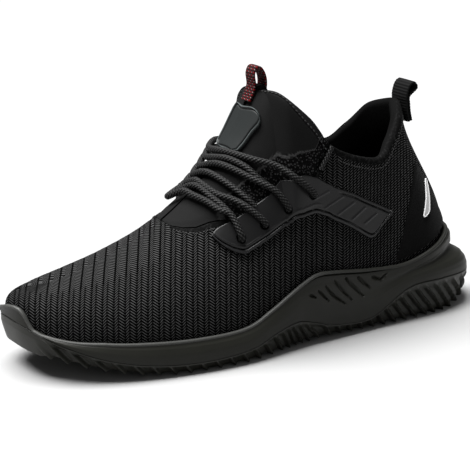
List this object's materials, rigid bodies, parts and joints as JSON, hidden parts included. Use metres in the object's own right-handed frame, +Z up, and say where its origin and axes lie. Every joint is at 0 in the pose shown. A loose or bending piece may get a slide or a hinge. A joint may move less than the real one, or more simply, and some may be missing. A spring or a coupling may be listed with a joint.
{
  "type": "safety sneaker",
  "caption": "Left low-cut safety sneaker with a black knitted upper, elastic lace, moulded eyestays and a sole with ribbed sides",
  "frame": {"origin": "on the floor under the middle of the heel, where the sole rests", "axes": "+X towards the heel, -X towards the toe, -Y towards the lateral side, +Z up"},
  "size_m": [0.3007, 0.1064, 0.1568],
  "materials": {
    "foam": "matt moulded foam with a faint sheen",
    "rubber": "matt moulded rubber",
    "lining": "plain woven lining",
    "knit": "coarse knit in zigzag ribs",
    "stretch": "smooth stretch fabric over foam",
    "film": "satin moulded film",
    "suede": "matt napped panel",
    "reflector": "satin reflective film",
    "badge": "satin moulded rubber",
    "webbing": "ribbed webbing",
    "lace": "round braided elastic"
  },
  "bodies": {
    "root": {"midsole": "foam", "outsole": "rubber", "insole": "lining", "upper": "knit", "tongue": "stretch", "eyestay_lateral": "film", "eyestay_medial": "film", "heel_panel_lateral": "suede", "heel_panel_medial": "suede", "reflector_lateral": "reflector", "reflector_medial": "reflector", "tongue_badge": "badge", "tongue_loop": "webbing", "heel_loop": "webbing", "lace": "lace"}
  },
  "joints": []
}
